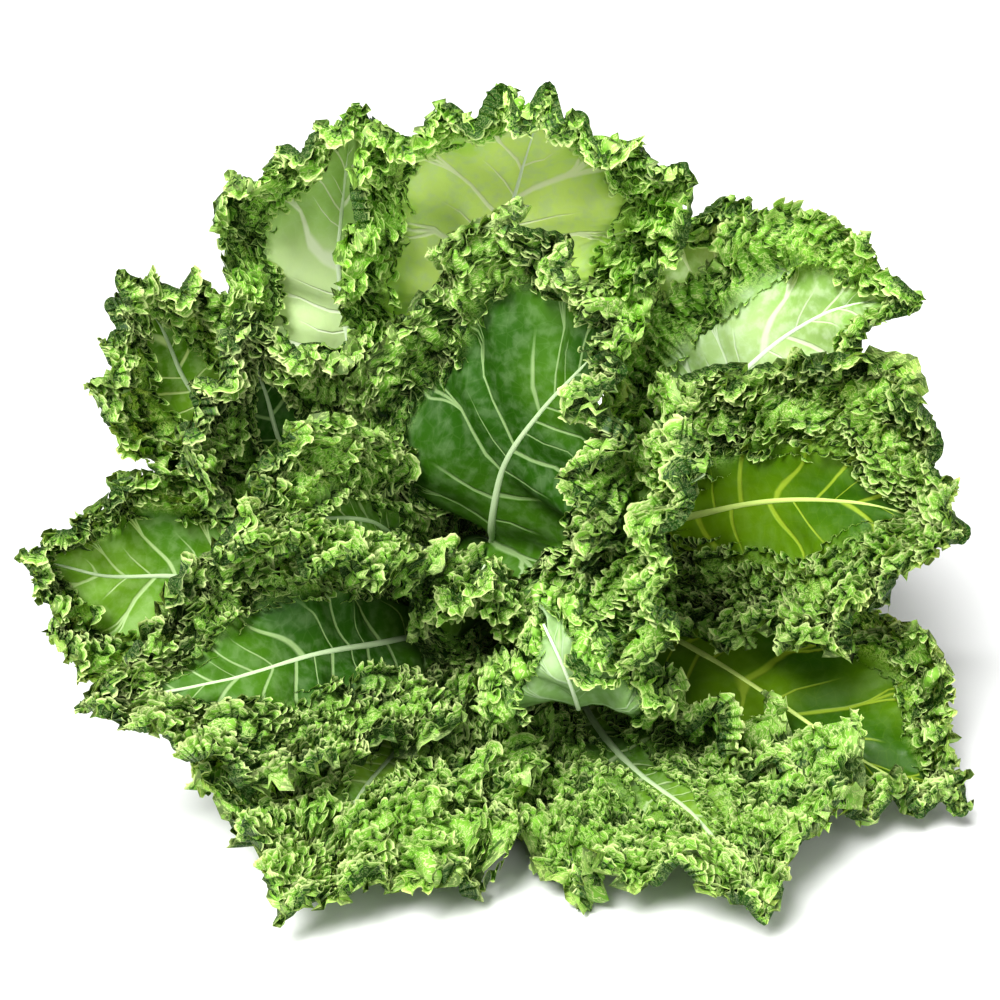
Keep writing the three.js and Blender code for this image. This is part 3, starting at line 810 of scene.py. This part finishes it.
def ruffleMesh(leaf, surface, row, ringAt):
    ripple = surface.ripple
    spine = surface.at(surface.samples, np.full(2001, ringAt))["points"]
    far = np.concatenate([[0], np.cumsum(np.linalg.norm(np.diff(spine, axis=0), axis=1))])
    bm = bmesh.new()
    bmesh.ops.create_grid(bm, x_segments=int(far[-1] / ruffle["step"]), y_segments=ruffle["rows"], size=1)
    mesh = bpy.data.meshes.new("ruffle")
    bm.to_mesh(mesh)
    bm.free()
    sheet = readPoints(mesh)
    walk, up = (sheet[:, 0] + 1) / 2 * far[-1], (sheet[:, 1] + 1) / 2
    around = np.interp(walk, far, surface.samples)
    ring = ringAt + ripple(walk / 14, row * 5.3 + 1) * 0.9 * ruffle["apart"] / leaf["width"]
    ring = np.minimum(ring, 1.0)
    spot, beyond = surface.at(around, ring), surface.at(around, ring + 0.03)
    outDirection = unit(beyond["points"] - spot["points"])
    even = np.stack([np.convolve(np.pad(line, 20, "edge"), np.ones(41) / 41, "valid") for line in spine.T], axis=1)
    ways = unit(np.gradient(even, surface.samples, axis=0))
    onward = unit(np.stack([np.interp(around, surface.samples, ways[:, i]) for i in range(3)], axis=1))
    normal = np.cross(onward, outDirection)
    normal = unit(normal * np.sign(np.sum(normal * spot["normal"], axis=1))[:, None]) * leaf.get("ruffleSide", 1)
    small = 0.45 + 0.55 * np.clip(np.sin(np.pi * np.clip(around / 2, 0, 1)) * 3.5, 0, 1)
    grown = np.clip(spot["inFrill"] * 8, 0, 1)
    small = small * np.clip(np.abs(around - 1) * 25, 0.3, 1) * grown
    phase = 2 * np.pi * walk / ruffle["loop"] + ripple(walk / 13, row * 3.7) * 4.2 + row * 2.1
    tinyPhase = 2 * np.pi * walk / ruffle["smallLoop"] + ripple(walk / 6, row * 4.1 + 2) * 3.0
    height = ruffle["height"] * (0.85 + 0.45 * ripple(walk / 7, row * 2.3 + 5)) * small * leaf.get("calm", 1)
    hidden = ruffle["hidden"] * (1 - grown)
    foot = ruffle["least"] + ruffle["foot"] * spot["inFrill"] + hidden
    rise = (foot + height) * up - foot
    rise = rise + ripple(walk / 0.7, row * 6.1) * ruffle["tooth"] * np.clip(up * 2 - 1, 0, 1) * grown
    rise = rise + np.cos(tinyPhase * 1.3) * 0.5 * up ** 2 * grown - hidden
    swing = np.sin(phase) * ruffle["swing"] * small * (0.8 + 0.5 * ripple(walk / 9, row * 3.1 + 7))
    swing = swing * (0.25 + 0.75 * up)
    swing = swing + (np.sin(tinyPhase) * ruffle["smallSwing"] * up ** 1.5 + ruffle["lean"] * up ** 2) * grown
    roll = -np.sin(2 * phase) * ruffle["roll"] * small * up + np.cos(tinyPhase) * 0.5 * up * grown
    points = spot["points"] + normal * rise[:, None] + outDirection * swing[:, None] + onward * roll[:, None]
    writePoints(mesh, aboveFloor(points))
    addUv(mesh, "rays", np.stack([walk * 0, 0.55 + 0.45 * up], axis=1))
    addUv(mesh, "flat", np.stack([walk, rise + row * 13], axis=1) / 10)
    patch = ripple(spot["a"] / 34, spot["b"] / 34 + 9) * 0.5 + 0.5
    # painted shade: each ruffle dark at its foot and light at its top, lighter where the blade billows up
    shade = np.clip(0.72 + 0.85 * spot["billow"], 0.2, 1.1)
    addTone(mesh, (up ** 1.2 * shade, patch, walk * 0 + 1), 0.0)
    return mesh


def ruffleMeshes(leaf, surface):
    start = 0.06 if "bareFrom" in leaf else min(frillStart[leaf["name"]])
    count = max(round((0.93 - start) * leaf["width"] / ruffle["apart"]), 1)
    return [ruffleMesh(leaf, surface, row, ringAt) for row, ringAt in
            enumerate(np.linspace(start + 0.5 * ruffle["apart"] / leaf["width"], ruffle["last"], count))]


def stemRadius(leaf, midrib, distance):
    atBand = stem["cutY"] - bandY
    end = midrib.total - stem["stopsBefore"] * leaf["length"]
    radius = np.interp(distance, [0, atBand, midrib.bladeStart],
                       [stem["radiusAtCut"], stem["radiusAtBand"], stem["radiusAtBlade"]])
    inBlade = np.clip((distance - midrib.bladeStart) / (end - midrib.bladeStart), 0, 1)
    tapered = stem["radiusAtBlade"] + (stem["radiusAtTip"] - stem["radiusAtBlade"]) * np.sqrt(inBlade)
    return np.where(distance > midrib.bladeStart, tapered, radius), inBlade


# The stem from its cut end and the midrib that it becomes, as one tapering round run with a groove on top
def stemMesh(leaf, midrib):
    end = midrib.total - stem["stopsBefore"] * leaf["length"]
    steps = int(end / stem["step"])
    sides = stem["sides"]
    bm = bmesh.new()
    bmesh.ops.create_circle(bm, cap_ends=True, segments=sides, radius=1)
    rim = list(bm.edges)
    for vert in bm.verts:
        vert.co.z = 0
    for step in range(1, steps + 1):
        grown = bmesh.ops.extrude_edge_only(bm, edges=rim)["geom"]
        for vert in (g for g in grown if isinstance(g, bmesh.types.BMVert)):
            vert.co.z = step
        rim = [g for g in grown if isinstance(g, bmesh.types.BMEdge)]
    bmesh.ops.holes_fill(bm, edges=rim, sides=sides)
    bmesh.ops.recalc_face_normals(bm, faces=bm.faces)
    mesh = bpy.data.meshes.new("stem")
    bm.to_mesh(mesh)
    bm.free()
    tube = readPoints(mesh)
    distance = tube[:, 2] / steps * end
    angle = np.arctan2(tube[:, 0], tube[:, 1])
    radius, inBlade = stemRadius(leaf, midrib, distance)
    groove = 1 - stem["groove"] * np.exp(-(angle / 0.5) ** 2) + stem["ridges"] * np.cos(5 * angle)
    origin, _, across, out = midrib.at(distance)
    past = distance - midrib.bladeStart
    sunk = radius * stem["sunkShare"] * np.clip(past / stem["sunkOver"], 0, 1)
    sunk = sunk + leaf.get("sink", 0) * np.clip(past / blade["sinkOver"], 0, 1)
    points = origin + across * (radius * groove * np.sin(angle))[:, None]
    points = points + out * (radius * groove * np.cos(angle) - sunk)[:, None]
    points[:, 2] = np.maximum(points[:, 2], 0.0)
    writePoints(mesh, (points + layoutShift) * mm)
    addUv(mesh, "rays", np.stack([angle / (2 * math.pi), distance / 20], axis=1))
    addUv(mesh, "flat", np.stack([angle, distance / 10], axis=1))
    addTone(mesh, (inBlade, angle * 0, angle * 0))
    return mesh


def joined(name, parts):
    bm = bmesh.new()
    for mesh, slot in parts:
        first = len(bm.faces)
        bm.from_mesh(mesh)
        bm.faces.ensure_lookup_table()
        for face in bm.faces[first:]:
            face.material_index = slot
            face.smooth = True
        bpy.data.meshes.remove(mesh)
    bmesh.ops.remove_doubles(bm, verts=bm.verts, dist=0.00001)
    whole = bpy.data.meshes.new(name)
    bm.to_mesh(whole)
    bm.free()
    return whole


def makeLeaf(index, leaf):
    rng = np.random.default_rng(100 + index)
    midrib = Midrib(leaf)
    surface = Surface(leaf, midrib, rng)
    parts = [bladeMesh(leaf, surface), *ruffleMeshes(leaf, surface)]
    mesh = joined(leaf["name"], [*((part, 0) for part in parts), (stemMesh(leaf, midrib), 1)])
    look = leaf.get("look", leaf["tint"])
    mesh.materials.append(leafMaterials[look])
    mesh.materials.append(stemMaterials[leafTints[look]["stem"]])
    piece = bpy.data.objects.new(leaf["name"].replace("leaf_", "kale_"), mesh)
    scene.collection.objects.link(piece)
    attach(piece, "root")
    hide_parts(leaf["name"])
    return len(mesh.polygons)


total = 0
for index, leaf in enumerate(leaves):
    total += makeLeaf(index, leaf)
print("stage: leaves made, faces", total, "in all")

print("stage: band")


def makeBandMaterial():
    material = bpy.data.materials.new("bandRubber")
    material.use_nodes = True
    t = Tree(material.node_tree)
    shader = material.node_tree.nodes["Principled BSDF"]
    place = t.add("ShaderNodeTexCoord").outputs["Object"]
    grain = t.noise(place, 900.0, 3.0, "3D")
    t.feed(shader.inputs["Base Color"], t.mix(grain, (0.05, 0.13, 0.34, 1), (0.09, 0.2, 0.44, 1)))
    t.feed(shader.inputs["Roughness"], t.remap(grain, 0.2, 0.8, 0.5, 0.7))
    bump = t.add("ShaderNodeBump")
    bump.inputs["Distance"].default_value = 0.1 * mm
    t.feed(bump.inputs["Height"], grain)
    t.feed(shader.inputs["Normal"], bump.outputs[0])
    return material


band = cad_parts["rubber_band"]
band.data.materials.clear()
band.data.materials.append(makeBandMaterial())
